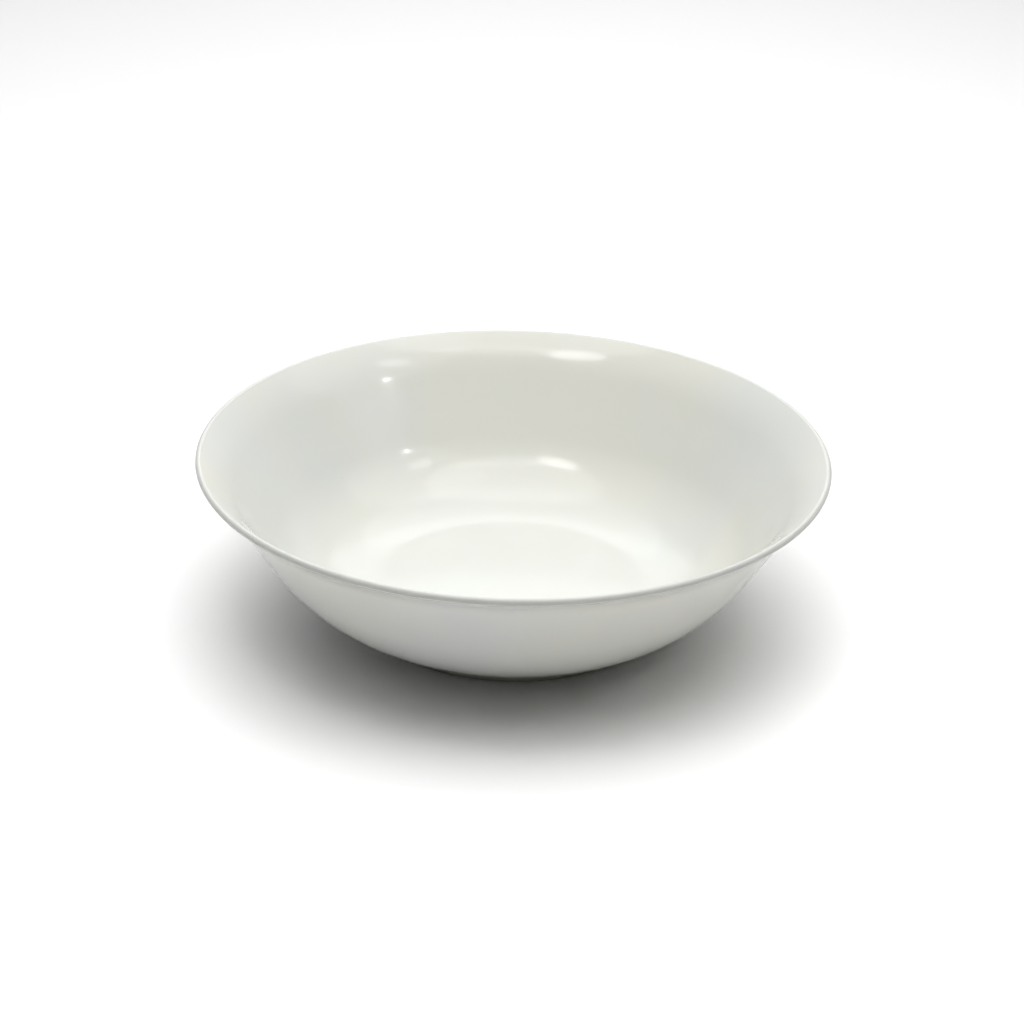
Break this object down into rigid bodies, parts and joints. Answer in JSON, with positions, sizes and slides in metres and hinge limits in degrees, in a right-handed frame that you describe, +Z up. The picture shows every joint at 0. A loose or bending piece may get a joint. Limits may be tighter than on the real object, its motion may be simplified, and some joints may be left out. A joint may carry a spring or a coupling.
{
  "type": "evaporating dish",
  "caption": "Wide round porcelain dish with a flared lip, smooth curved inside and low foot ring, for evaporating liquids in a laboratory.",
  "frame": {"origin": "centre of the foot ring's standing face, on the surface the dish stands on", "axes": "+Z up along the dish's axis, out of its mouth; X and Y are alike, because the dish is round"},
  "size_m": [0.2, 0.2, 0.0558],
  "materials": {
    "biscuit_porcelain": "bare fired porcelain, matt",
    "clear_glaze_inside": "glossy transparent glaze over white porcelain",
    "clear_glaze_outside": "glossy transparent glaze over white porcelain"
  },
  "bodies": {
    "root": {"porcelain_body": "biscuit_porcelain", "inner_glaze": "clear_glaze_inside", "outer_glaze": "clear_glaze_outside"}
  },
  "joints": []
}
